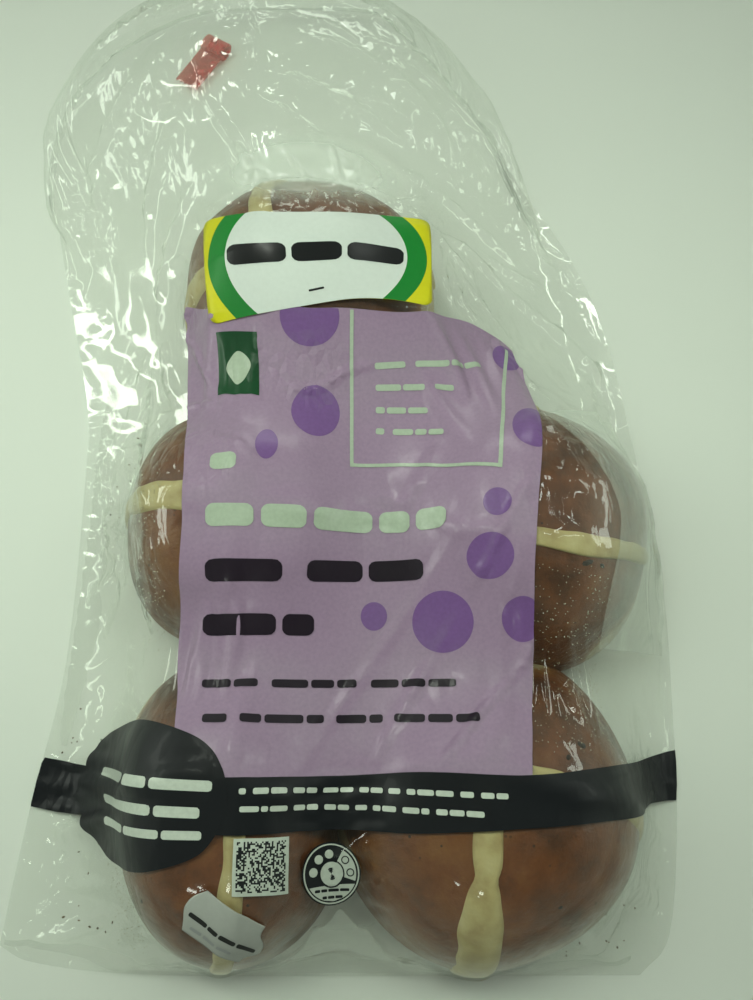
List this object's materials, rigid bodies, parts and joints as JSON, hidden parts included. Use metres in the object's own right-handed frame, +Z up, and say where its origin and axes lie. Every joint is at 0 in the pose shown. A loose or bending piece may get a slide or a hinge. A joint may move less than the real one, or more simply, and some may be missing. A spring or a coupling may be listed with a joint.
{
  "type": "bag of hot cross buns",
  "caption": "Clear film bag of hot cross buns lying on its back, printed side up, with its neck folded under and taped.",
  "frame": {"origin": "middle of the bag's flat underside", "axes": "+Z up, +Y towards the folded neck, +X to the bag's right side seen from above with the bottom seam nearest"},
  "size_m": [0.225, 0.3576, 0.0499],
  "materials": {
    "film": "clear crinkled gloss film",
    "sticker": "coated paper, slight gloss",
    "label": "matt paper",
    "tape": "red gloss tape"
  },
  "bodies": {
    "root": {"bag": "film", "promotion_sticker": "sticker", "date_label": "label", "neck_tape": "tape"}
  },
  "joints": []
}
